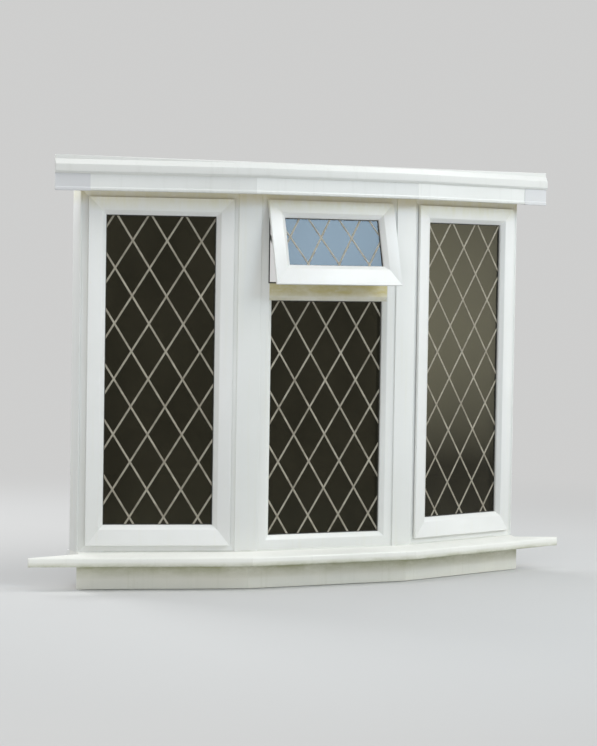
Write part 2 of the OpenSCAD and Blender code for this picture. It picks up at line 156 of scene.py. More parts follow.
def ringMesh(name, profile, outer, place, lowExtra=None, seam=0.0, sideShift=None):
    # a closed profile of (inward, back) run round the rectangle outer, with mitred corners
    # lowExtra is (from, by): what lies further inward than from is lifted along the bottom
    # sideShift is (from, to, by): what lies between from and to moves inward along the sides
    x0, z0, x1, z1 = outer
    middle = sum(profile, Vector((0, 0))) / len(profile)

    def spot(corner, p, slide):
        lifted = lowExtra and p.x >= lowExtra[0]
        shifted = sideShift and sideShift[0] <= p.x <= sideShift[1]
        low = p.x + (lowExtra[1] if lifted else 0)
        side = p.x + (sideShift[2] if shifted else 0)
        ends = [
            (x0 + side, z0 + low), (x1 - side, z0 + low),
            (x1 - side, z1 - p.x), (x0 + side, z1 - p.x),
        ]
        ways = [(1, 0), (0, 1), (-1, 0), (0, -1)]
        x, z = ends[corner]
        dx, dz = ways[corner] if slide > 0 else ways[corner - 1]
        return Vector((x + dx * slide, p.y, z + dz * slide))

    shape = bmesh.new()
    rows = []
    for corner in range(4):
        slides = (-2 * seam, 0, 2 * seam) if seam else (0,)
        for slide in slides:
            row = profile
            if seam and slide == 0:
                row = [p + (middle - p).normalized() * seam for p in profile]
            rows.append([shape.verts.new(spot(corner, p, slide)) for p in row])
    for i, row in enumerate(rows):
        ahead = rows[(i + 1) % len(rows)]
        for j in range(len(row)):
            k = (j + 1) % len(row)
            shape.faces.new((row[j], row[k], ahead[k], ahead[j]))
    return asMesh(shape, name, place)


def boxShape(shape, low, high):
    made = bmesh.ops.create_cube(shape, size=1)["verts"]
    size = Vector(high) - Vector(low)
    bmesh.ops.scale(shape, vec=size, verts=made)
    bmesh.ops.translate(shape, vec=(Vector(low) + Vector(high)) / 2, verts=made)


def prismMesh(name, outline, low, high, axis="Z"):
    # an outline pushed from low to high along an axis
    shape = bmesh.new()
    turn = {"Z": lambda p, t: (p[0], p[1], t), "X": lambda p, t: (t, p[0], p[1])}[axis]
    ends = [[shape.verts.new(turn(p, t)) for p in outline] for t in (low, high)]
    shape.faces.new(ends[0])
    shape.faces.new(ends[1])
    for j in range(len(outline)):
        k = (j + 1) % len(outline)
        shape.faces.new((ends[0][j], ends[0][k], ends[1][k], ends[1][j]))
    return asMesh(shape, name)


def keepInside(mesh, cutter, name, material):
    # what of a mesh lies inside the cutter
    piece = newPiece(name, mesh, material)
    tool = newPiece(name + "Cut", cutter, material)
    cut = piece.modifiers.new("cut", "BOOLEAN")
    cut.operation, cut.solver, cut.object = "INTERSECT", "EXACT", tool
    made = plainMesh(piece)
    bpy.data.objects.remove(tool)
    return made


def facetPlace(side):
    # the corner line of a facet of the bay, with heights as they are
    if side == "centre":
        return Matrix.Translation((0, -bay["proj"], 0))
    sign = 1 if side == "right" else -1
    corner = Matrix.Translation((sign * bay["cornerX"], -bay["proj"], 0))
    return corner @ Matrix.Rotation(sign * bay["angle"], 4, "Z")


def lightPlace(side):
    # the lower left corner of a light's frame, seen from outside, with its depth along +Y
    along = {
        "left": -bay["postHalf"] - bay["sideWidth"],
        "centre": -bay["halfCentre"],
        "right": bay["postHalf"],
    }[side]
    return facetPlace(side) @ Matrix.Translation((along, 0, bay["frameZ"]))


def mitre(out, gap=0.0):
    # the point of the right corner's mitre that lies this far out from the lights' faces
    across = bay["cornerX"] + out * math.tan(bay["angle"] / 2)
    return Vector((across + gap, -bay["proj"] - out))


def addNode(tree, kind, inputs=None, **settings):
    # an input is a plain value, or another node's output to link
    node = tree.nodes.new(kind)
    for key, value in settings.items():
        setattr(node, key, value)
    for key, value in (inputs or {}).items():
        if hasattr(value, "is_output"):
            tree.links.new(value, node.inputs[key])
        else:
            node.inputs[key].default_value = value
    return node


def objectCoords(tree, scale=(1, 1, 1)):
    coords = addNode(tree, "ShaderNodeTexCoord").outputs["Object"]
    return addNode(tree, "ShaderNodeMapping", {"Vector": coords, "Scale": scale}).outputs[0]


def noise(tree, vector, scale, detail=4.0, rough=0.55, distort=0.0):
    return addNode(tree, "ShaderNodeTexNoise", {
        "Vector": vector, "Scale": scale, "Detail": detail,
        "Roughness": rough, "Distortion": distort,
    }).outputs["Fac"]


def between(tree, value, low, high, toLow=0.0, toHigh=1.0):
    return addNode(tree, "ShaderNodeMapRange", {
        "Value": value, "From Min": low, "From Max": high, "To Min": toLow, "To Max": toHigh,
    }).outputs[0]


def times(tree, a, b):
    return addNode(tree, "ShaderNodeMath", {0: a, 1: b}, operation="MULTIPLY").outputs[0]


def greater(tree, a, b):
    return addNode(tree, "ShaderNodeMath", {0: a, 1: b}, operation="MAXIMUM").outputs[0]


def blend(tree, amount, a, b):
    return addNode(tree, "ShaderNodeMix", {0: amount, 6: a, 7: b}, data_type="RGBA").outputs[2]


def bumps(tree, height, strength, distance):
    return addNode(tree, "ShaderNodeBump", {
        "Height": height, "Strength": strength, "Distance": distance,
    }).outputs[0]


def shade(colour, amount):
    return tuple(c * amount for c in colour[:3]) + (1,)


def newFinish(name):
    finish = bpy.data.materials.new(name)
    finish.use_nodes = True
    return finish, finish.node_tree, finish.node_tree.nodes["Principled BSDF"]


whitePlastic = {
    "clean": (0.80, 0.81, 0.79, 1),
    "chalked": (0.70, 0.71, 0.67, 1),
    "grimeAndShade": (0.30, 0.30, 0.22, 1),
    "gloss": 0.34, "dull": 0.52,  # roughness where clean and where worn
    # each noise has its scale per metre, and the levels between which it shows
    "patches": 3.1, "patchy": (0.38, 0.70),
    "rain": (46, 46, 1.7), "rainy": (0.54, 0.80),
    "specks": 210, "speckled": (0.70, 0.78), "speckShare": 0.25,
    "ragged": (0.30, 0.62, 0.35, 1.0),  # and what of a band's grime and painted shade is left at those levels
    "fine": 620, "fineShare": 0.12, "waves": 16, "waveGrain": (1, 1, 0.35), "relief": 0.6 * mm,
}


def makeWhite(
    name, streaks, broad, clean=whitePlastic["clean"], grimeAndShade=whitePlastic["grimeAndShade"],
    bands=(), outside=None, blotch=(30, 30, 9),
):
    # weathered white profile: chalky patches, rain streaks, specks, and bands of height darkened by
    # grime and painted shade a band is (clean height, darkest height, amount), outside is (clean,
    # darkest) along Y, and blotch is the grain of the grime and painted shade in the bands
    w = whitePlastic
    finish, tree, shader = newFinish(name)
    here = objectCoords(tree)
    patches = between(tree, noise(tree, here, w["patches"], 5), *w["patchy"])
    colour = blend(tree, times(tree, patches, broad), clean, w["chalked"])
    drips = noise(tree, objectCoords(tree, w["rain"]), 1.0, 6, 0.62)
    rain = between(tree, drips, *w["rainy"])
    colour = blend(tree, times(tree, rain, streaks), colour, grimeAndShade)
    specks = between(tree, noise(tree, here, w["specks"], 2, 0.5), *w["speckled"])
    colour = blend(tree, times(tree, specks, w["speckShare"]), colour, grimeAndShade)
    if bands:
        apart = addNode(tree, "ShaderNodeSeparateXYZ", {0: here}).outputs
        grain = noise(tree, objectCoords(tree, blotch), 1.0, 6, 0.7)
        ragged = between(tree, grain, *w["ragged"])
        # painted shade: each band darkens the white towards its darkest height, mixed with real
        # grime
        for cleanZ, darkestZ, amount in bands:
            grimeShadeBand = between(tree, apart[2], cleanZ, darkestZ)
            if outside:
                grimeShadeBand = times(tree, grimeShadeBand, between(tree, apart[1], *outside))
            colour = blend(tree, times(tree, times(tree, grimeShadeBand, ragged), amount), colour, grimeAndShade)
    tree.links.new(colour, shader.inputs["Base Color"])
    worn = greater(tree, patches, rain)
    roughness = between(tree, worn, 0, 1, w["gloss"], w["dull"])
    tree.links.new(roughness, shader.inputs["Roughness"])
    fine = times(tree, noise(tree, here, w["fine"], 3, 0.6), w["fineShare"])
    waves = noise(tree, objectCoords(tree, w["waveGrain"]), w["waves"], 3)
    height = addNode(tree, "ShaderNodeMath", {0: fine, 1: waves}, operation="ADD").outputs[0]
    tree.links.new(bumps(tree, height, 0.10, w["relief"]), shader.inputs["Normal"])
    return finish


roomGlass = {
    "filmGrain": (2.2, 2.2, 1.1), "film": 3.2, "filmy": (0.40, 0.75),
    "darker": 0.66,  # the tint under the film
    "wave": 2.6, "relief": 1.0 * mm,
}


def makeGlass(name, tint, ior, level=0.5, mirrored=(1, 1, 1, 1)):
    # glass with a dark tint that paints the shade of an unlit room behind it, a faint film, and the
    # slight wave of a sealed unit
    # mirrored tints what the pane reflects
    finish, tree, shader = newFinish(name)
    smear = noise(tree, objectCoords(tree, roomGlass["filmGrain"]), roomGlass["film"], 4, 0.55)
    film = between(tree, smear, *roomGlass["filmy"])
    filmed = shade(tint, roomGlass["darker"])
    tree.links.new(blend(tree, film, tint, filmed), shader.inputs["Base Color"])
    shader.inputs["Transmission Weight"].default_value = 1.0
    shader.inputs["Roughness"].default_value = 0.0
    shader.inputs["IOR"].default_value = ior
    shader.inputs["Specular IOR Level"].default_value = level
    shader.inputs["Specular Tint"].default_value = mirrored
    wave = noise(tree, objectCoords(tree), roomGlass["wave"], 1)
    tree.links.new(bumps(tree, wave, 0.20, roomGlass["relief"]), shader.inputs["Normal"])
    return finish


drawnMetal = {"grain": (300, 300, 12), "lined": (0.3, 0.75), "darker": 0.72, "relief": 0.2 * mm}


def makeMetal(name, colour, metallic, gloss, dull):
    # drawn or folded metal, with fine lines along Z
    finish, tree, shader = newFinish(name)
    lines = noise(tree, objectCoords(tree, drawnMetal["grain"]), 1.0, 4, 0.6)
    dark = shade(colour, drawnMetal["darker"])
    tinted = blend(tree, between(tree, lines, *drawnMetal["lined"]), colour, dark)
    tree.links.new(tinted, shader.inputs["Base Color"])
    shader.inputs["Metallic"].default_value = metallic
    tree.links.new(between(tree, lines, 0.3, 0.7, gloss, dull), shader.inputs["Roughness"])
    tree.links.new(bumps(tree, lines, 0.08, drawnMetal["relief"]), shader.inputs["Normal"])
    return finish


oldLead = {
    "grey": (0.24, 0.215, 0.168, 1),
    "bloom": (0.43, 0.40, 0.325, 1),
    "pits": (0.20, 0.18, 0.15, 1),
    "bloomScale": 26, "bloomed": (0.36, 0.66), "pitScale": 420, "pitted": (0.60, 0.72),
    "metallic": 0.15, "gloss": 0.42, "dull": 0.70,
    "grain": 300, "relief": 0.3 * mm,
}


def makeLead():
    # oxidised strip: pale bloom over a warm grey, with darker pits
    finish, tree, shader = newFinish("leadStrip")
    here = objectCoords(tree)
    bloom = between(tree, noise(tree, here, oldLead["bloomScale"], 5, 0.65), *oldLead["bloomed"])
    colour = blend(tree, bloom, oldLead["grey"], oldLead["bloom"])
    pits = between(tree, noise(tree, here, oldLead["pitScale"], 3), *oldLead["pitted"])
    colour = blend(tree, times(tree, pits, 0.5), colour, oldLead["pits"])
    tree.links.new(colour, shader.inputs["Base Color"])
    shader.inputs["Metallic"].default_value = oldLead["metallic"]
    roughness = between(tree, bloom, 0, 1, oldLead["gloss"], oldLead["dull"])
    tree.links.new(roughness, shader.inputs["Roughness"])
    height = noise(tree, here, oldLead["grain"], 4)
    tree.links.new(bumps(tree, height, 0.25, oldLead["relief"]), shader.inputs["Normal"])
    return finish


rubber = {
    "black": (0.018, 0.018, 0.018, 1), "dusty": (0.075, 0.072, 0.062, 1),
    "dust": 90, "dusted": (0.42, 0.70), "gloss": 0.50, "dull": 0.78,
}


def makeRubber():
    # black seal with a film of dust
    finish, tree, shader = newFinish("gasketRubber")
    grain = noise(tree, objectCoords(tree), rubber["dust"], 5, 0.6)
    dust = between(tree, grain, *rubber["dusted"])
    tree.links.new(blend(tree, dust, rubber["black"], rubber["dusty"]), shader.inputs["Base Color"])
    roughness = between(tree, dust, 0, 1, rubber["gloss"], rubber["dull"])
    tree.links.new(roughness, shader.inputs["Roughness"])
    return finish


timber = {
    "fibres": (1.6, 42, 42), "rings": (0.55, 9, 9), "ringShare": 0.45, "lateWood": 0.62,
    "ply": 3.6 * mm, "glue": (0.20, 0.12, 0.06, 1), "glueShare": 0.8,
    "gloss": 0.62, "dull": 0.82, "relief": 0.5 * mm,
}


def makeTimber(name, pale, dark, plies=False):
    # sawn softwood with grain along X, or the face and edge bands of plywood
    finish, tree, shader = newFinish(name)
    grain = noise(tree, objectCoords(tree, timber["fibres"]), 1.0, 6, 0.6, 0.6)
    rings = addNode(tree, "ShaderNodeTexWave", {
        "Vector": objectCoords(tree, timber["rings"]),
        "Scale": 2.4, "Distortion": 5.0, "Detail": 3.0,
    }, bands_direction="Y").outputs["Fac"]
    colour = blend(tree, between(tree, grain, 0.32, 0.70), pale, dark)
    lateWood = shade(dark, timber["lateWood"])
    colour = blend(tree, times(tree, rings, timber["ringShare"]), colour, lateWood)
    if plies:
        height = addNode(tree, "ShaderNodeSeparateXYZ", {0: objectCoords(tree)}).outputs[2]
        layer = addNode(tree, "ShaderNodeMath", {
            0: times(tree, height, 1 / timber["ply"]), 1: 1.0,
        }, operation="PINGPONG").outputs[0]
        normal = addNode(tree, "ShaderNodeNewGeometry").outputs["Normal"]
        up = addNode(tree, "ShaderNodeSeparateXYZ", {0: normal}).outputs[2]
        flat = addNode(tree, "ShaderNodeMath", {0: up}, operation="ABSOLUTE").outputs[0]
        edge = between(tree, flat, 0.35, 0.65, 1.0, 0.0)
        bands = times(tree, between(tree, layer, 0.42, 0.58), edge)
        colour = blend(tree, times(tree, bands, timber["glueShare"]), colour, timber["glue"])
    tree.links.new(colour, shader.inputs["Base Color"])
    roughness = between(tree, grain, 0.3, 0.7, timber["gloss"], timber["dull"])
    tree.links.new(roughness, shader.inputs["Roughness"])
    tree.links.new(bumps(tree, grain, 0.30, timber["relief"]), shader.inputs["Normal"])
    return finish


# colours of grime, also used for the painted shade in the bands
grimeShadeTints = {
    "olive": (0.29, 0.30, 0.13, 1),
    "mossAndShade": (0.46, 0.385, 0.10, 1),
    "lichenAndShade": (0.70, 0.67, 0.38, 1),
}
# painted shade: frames and sashes darken to olive towards their heads, where shade falls under the
# fascia, together with lichen
frameWhite = makeWhite(
    "frameWhite", streaks=0.12, broad=0.35, grimeAndShade=grimeShadeTints["lichenAndShade"], bands=[(1.310, 1.350, 0.60)]
)
sashWhite = makeWhite(
    "sashWhite", clean=(0.83, 0.835, 0.82, 1), streaks=0.10, broad=0.30,
    grimeAndShade=grimeShadeTints["lichenAndShade"], bands=[(1.290, 1.335, 0.50)]
)
# painted shade: the transom's front darkens olive where the open vent shades it, together with moss
transomWhite = makeWhite(
    "transomWhite", streaks=0.05, broad=0.4, grimeAndShade=grimeShadeTints["mossAndShade"],
    bands=[(1.085, 1.050, 0.45), (0.998, 1.016, 0.80)], outside=(-0.110, -0.140), blotch=(8, 8, 20)
)
# painted light and shade: the sill is a lighter white than the frames for the light on its top, and
# its nose darkens olive towards its lower edge for the shade line under it, with some grime
sillWhite = makeWhite(
    "sillWhite", clean=(0.88, 0.88, 0.83, 1), streaks=0.08, broad=0.4,
    grimeAndShade=grimeShadeTints["olive"], bands=[(0.060, 0.045, 0.60)], blotch=(9, 9, 24)
)
# painted light and shade: the apron is a lighter white to lift the shade under the sill, and it
# darkens olive towards its top where the sill's nose shades it, together with lichen
apronWhite = makeWhite(
    "apronWhite", clean=(0.81, 0.80, 0.72, 1), streaks=0.12, broad=0.5,
    grimeAndShade=grimeShadeTints["olive"], bands=[(-0.010, 0.034, 0.80)], blotch=(9, 9, 24)
)
# the fascia's band darkens it towards its lower edge
fasciaWhite = makeWhite("fasciaWhite", streaks=0.10, broad=0.40, bands=[(1.372, 1.360, 0.35)])
# painted shade: the sleeves over the fascia's ends are a greyer white than the fascia, for the
# shade at those ends
coverWhite = makeWhite("coverWhite", clean=(0.66, 0.665, 0.68, 1), streaks=0.08, broad=0.3)
sealant = makeWhite("sealant", clean=(0.66, 0.66, 0.61, 1), streaks=0.2, broad=0.8)
roofWhite = makeWhite("roofWhite", clean=(0.75, 0.755, 0.73, 1), streaks=0.10, broad=0.4)
innerWhite = makeWhite("innerWhite", clean=(0.82, 0.82, 0.80, 1), streaks=0.0, broad=0.15)
# painted shade: the outer and vent panes are tinted near black for the unlit room behind them
glassOuter = makeGlass("glassOuter", (0.034, 0.031, 0.021, 1), 1.35, mirrored=(1.0, 0.95, 0.66, 1))
glassVent = makeGlass("glassVent", (0.050, 0.050, 0.050, 1), 1.5, 1.0)
glassInner = makeGlass("glassInner", (0.60, 0.60, 0.56, 1), 1.3, 0.3)
spacerMetal = makeMetal("spacerMetal", (0.62, 0.63, 0.63, 1), 0.9, 0.28, 0.42)
staySteel = makeMetal("staySteel", (0.56, 0.56, 0.55, 1), 1.0, 0.22, 0.40)
leadStrip = makeLead()
gasketRubber = makeRubber()
sawnTimber = makeTimber("sawnTimber", (0.50, 0.36, 0.20, 1), (0.36, 0.23, 0.11, 1))
plywood = makeTimber("plywood", (0.55, 0.42, 0.26, 1), (0.44, 0.31, 0.17, 1), plies=True)
print("finishes made")


sashSizes = {
    "margin": 22 * mm,  # from the frame's outer edge to the sash's
    "proud": 12 * mm, "back": 48 * mm,  # before and behind the frame's face
    "face": 63 * mm, "low": 74 * mm,  # widths of the sides and of the bottom rail
    "inset": 32 * mm,  # from the sash's outer edge to the part that fills the frame's opening
    "insetFrom": 24 * mm, "insetTo": 40 * mm,  # where the profile's points of that part lie
    "rebate": 18 * mm, "glassY": 8 * mm, "slopeW": 16 * mm, "slopeD": 12 * mm,
    "sealGap": 2 * mm, "sealFrom": 5 * mm, "sealTo": 9 * mm, "sealTaper": 1 * mm,
    "ventSide": 26 * mm, "ventJamb": 40 * mm,  # from the light's edge to the vent and its opening
    "gap": 12 * mm,  # between the opening and the part of the vent inside it
    "ventTilt": math.radians(15),
    "lipFrom": 0.6 * mm, "lipTo": 5 * mm, "lipProud": 1.8 * mm,  # seal round the vent's opening
}
glazing = {
    "cover": 12 * mm,  # how far the panes run in behind the frame's edge
    "pane": 4 * mm, "unit": 24 * mm, "spacerFrom": 3 * mm, "spacerTo": 1 * mm,
    "bead": 7 * mm, "beadFoot": 1.5 * mm, "beadLip": 2 * mm,
    "gasket": 3 * mm, "gasketFrom": 2 * mm, "gasketTop": 0.6 * mm, "proud": 1.6 * mm,
    "lifted": 20 * mm,  # the inner part of a profile that a taller bottom rail lifts
}
paneFrame = {
    "face": 54 * mm, "open": 42 * mm,  # widths round the fixed pane and round a side sash
    "glassY": 20 * mm, "edge": 1.2 * mm, "softEdge": 0.9 * mm,
    "transomZ": 900 * mm, "ventZ": 966 * mm,  # the transom's under side and top
}


def sashProfile():
    s = sashSizes
    return roundOff([
        (0, -s["proud"], 2.2 * mm),
        (s["face"] - s["slopeW"], -s["proud"], 2.5 * mm),
        (s["face"], s["slopeD"] - s["proud"], 1.0 * mm),
        (s["face"], s["glassY"], 0),
        (s["face"] - s["rebate"], s["glassY"], 0),
        (s["face"] - s["rebate"], s["back"], 0.8 * mm),
        (s["inset"], s["back"], 1.5 * mm),
        (s["inset"], -s["sealGap"], 1.0 * mm),
        (0, -s["sealGap"], 1.0 * mm),
    ])


def sealProfile():
    # the rubber between a sash and the frame's face, narrower at its front
    s = sashSizes
    return roundOff([
        (s["sealFrom"], -s["sealGap"] - seat, 0),
        (s["sealTo"], -s["sealGap"] - seat, 0),
        (s["sealTo"] - s["sealTaper"], -seat, 0.6 * mm),
        (s["sealFrom"] + s["sealTaper"], -seat, 0.6 * mm),
    ])


def beadProfile(face, glassBack, back):
    g = glazing
    far = face - sashSizes["rebate"] + seat
    return roundOff([
        (far, glassBack, 0),
        (face - g["beadFoot"], glassBack, 0),
        (face, glassBack + g["beadLip"], 0.8 * mm),
        (face, back - g["bead"], 2.0 * mm),
        (face - g["bead"], back, 1.6 * mm),
        (far, back, 0.5 * mm),
    ])


def gasketProfile(face, glassFace, outward):
    # soft lip on the glass beside the frame, out to the front or back
    top = glassFace + glazing["proud"] * outward
    return roundOff([
        (face - glazing["gasketFrom"], glassFace, 0),
        (face - glazing["gasketFrom"], top, 0),
        (face + glazing["gasketTop"], top, 0.8 * mm),
        (face + glazing["gasket"], glassFace, 0),
    ])


def spacerProfile(face, glassY):
    # the bar between the two panes
    far, near = face - glazing["cover"] + glazing["spacerFrom"], face - glazing["spacerTo"]
    front = glassY + glazing["pane"] + seat
    back = glassY + glazing["unit"] - glazing["pane"] - seat
    return roundOff([
        (far, front, 0), (near, front, 0.6 * mm), (near, back, 0.6 * mm), (far, back, 0),
    ])


def lightUnit(tag, place, outer, face, low, glassY, back, glassNode, beadNode, beadName):
    # the panes, their spacer, gaskets and inside beads, in a rectangular opening
    # gives back the daylight, the rectangle of glass that shows
    x0, z0, x1, z1 = outer
    extra = (face - glazing["lifted"], low - face)
    day = (x0 + face, z0 + low, x1 - face, z1 - face)
    cover, pane, unit = glazing["cover"], glazing["pane"], glazing["unit"]
    for part, y, finish in (
        ("outer", glassY + seat, glassVent if tag == "vent" else glassOuter),
        ("inner", glassY + unit - pane - seat, glassInner),
    ):
        shape = bmesh.new()
        boxShape(
            shape, (day[0] - cover, y, day[1] - cover), (day[2] + cover, y + pane, day[3] + cover)
        )
        glass = newPiece(f"{tag}Pane_{part}", asMesh(shape, "pane", place), finish)
        if part == "outer":
            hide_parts(glassNode)
        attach(glass, "root")
    bar = ringMesh("spacer", spacerProfile(face, glassY), outer, place, extra)
    spacer = newPiece(f"{tag}Spacer", bar, spacerMetal)
    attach(spacer, "root")
    for part, y, outward in (("front", glassY + seat, -1), ("back", glassY + unit - seat, 1)):
        lip = ringMesh("gasket", gasketProfile(face, y, outward), outer, place, extra)
        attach(newPiece(f"{tag}Gasket_{part}", lip, gasketRubber), "root")
    profile = beadProfile(face, glassY + unit, back)
    beads = ringMesh("bead", profile, outer, place, extra, seamDepth)
    bead = newPiece(beadName, beads, innerWhite)
    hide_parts(beadNode)
    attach(bead, "root")
    return day


def addSash(tag, place, width, height, sashNode, glassNode, beadNode, sideInset=None):
    s = sashSizes
    outer = (0, 0, width, height)
    extra = (s["face"] - glazing["lifted"], s["low"] - s["face"])
    shift = (s["insetFrom"], s["insetTo"], (sideInset or s["inset"]) - s["inset"])
    ring = ringMesh("sash", sashProfile(), outer, place, extra, seamDepth, shift)
    sash = newPiece(f"{tag}Sash", ring, sashWhite)
    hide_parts(sashNode)
    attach(sash, "root")
    seal = ringMesh("seal", sealProfile(), outer, place)
    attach(newPiece(f"{tag}SashSeal", seal, gasketRubber), "root")
    return lightUnit(
        tag, place, outer, s["face"], s["low"], s["glassY"], s["back"],
        glassNode, beadNode, f"{tag}Beads"
    )


days = {}  # each light's place and its daylight, for the lead
for side in ("left", "right"):
    place = lightPlace(side)
    inner, depth, edge = paneFrame["open"], bay["depth"], paneFrame["edge"]
    profile = roundOff([(0, 0, edge), (inner, 0, edge), (inner, depth, edge), (0, depth, edge)])
    outer = (0, 0, bay["sideWidth"], bay["height"])
    ring = ringMesh("frame", profile, outer, place, seam=seamDepth)
    piece = newPiece(f"{side}Frame", ring, frameWhite)
    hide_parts(f"{side}_frame")
    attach(piece, "root")
    m = sashSizes["margin"]
    sashPlace = place @ Matrix.Translation((m, 0, m))
    width, height = bay["sideWidth"] - 2 * m, bay["height"] - 2 * m
    nodes = (f"{side}_sash", f"{side}_glass", f"{side}_bead")
    days[side] = (sashPlace, addSash(side, sashPlace, width, height, *nodes))

centreWidth = 2 * bay["halfCentre"]
centrePlace = lightPlace("centre")
lap = paneFrame["open"] - sashSizes["margin"]
ventSide, ventJamb = sashSizes["ventSide"], sashSizes["ventJamb"]
ventLow = paneFrame["ventZ"] - lap
ventTop = bay["height"] - paneFrame["open"] + lap
ventPlace = (  # the vent turns about its top edge
    centrePlace @ Matrix.Translation((ventSide, 0, ventTop))
    @ Matrix.Rotation(-sashSizes["ventTilt"], 4, "X")
    @ Matrix.Translation((0, 0, ventLow - ventTop))
)
days["vent"] = (ventPlace, addSash(
    "vent", ventPlace, centreWidth - 2 * ventSide, ventTop - ventLow,
    "vent_sash", "vent_glass", "vent_bead", ventJamb - ventSide + sashSizes["gap"]
))
opening = (ventJamb, paneFrame["ventZ"], centreWidth - ventJamb, bay["height"] - paneFrame["open"])
near, far, front = -sashSizes["lipFrom"], -sashSizes["lipTo"], -sashSizes["lipProud"]
lip = roundOff([
    (far, -seat / 2, 0), (far, front, 0.8 * mm), (near, front, 0.8 * mm), (near, -seat / 2, 0),
])
seal = ringMesh("seal", lip, opening, centrePlace)
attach(newPiece("ventFrameSeal", seal, gasketRubber), "root")
days["centre"] = (centrePlace, lightUnit(
    "centre", centrePlace, (0, 0, centreWidth, paneFrame["transomZ"] + paneFrame["face"]),
    paneFrame["face"], paneFrame["face"], paneFrame["glassY"], bay["depth"],
    "lower_glass", "lower_bead", "centreBeads"
))
for node, name, finish, slot in (
    ("centre_frame", "centreFrame", frameWhite, "frame_white"),
    ("centre_transom", "centreTransom", transomWhite, "frame_white"),
    ("left_post", "leftPost", frameWhite, "post_white"),
    ("right_post", "rightPost", frameWhite, "post_white"),
    ("left_jamb", "leftJamb", frameWhite, "post_white"),
    ("right_jamb", "rightJamb", frameWhite, "post_white"),
):
    piece = softCopy(node, name, finish, paneFrame["softEdge"])
    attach(piece, "root")
print("frames, sashes and glass made")


lattice = {
    "strip": 6.8 * mm, "rise": 1.0 * mm, "stepZ": 196.5 * mm,
    "stepX": {"left": 122.5 * mm, "centre": 124 * mm, "right": 135.5 * mm, "vent": 124 * mm},
    "offset": {  # of one crossing from the pane's middle
        "left": (21.5 * mm, 67 * mm), "centre": (-62 * mm, 37 * mm),
        "right": (0, 67 * mm), "vent": (74 * mm, 18 * mm),
    },
    "joint": 4.6 * mm, "jointRise": 1.15,  # radius of a joint, and its rise against the strip's
    "arcPoints": 7, "jointSides": 12,
    "spareLines": 5,
    "cutter": 20 * mm,  # thickness of the block that cuts the strips to the pane
}


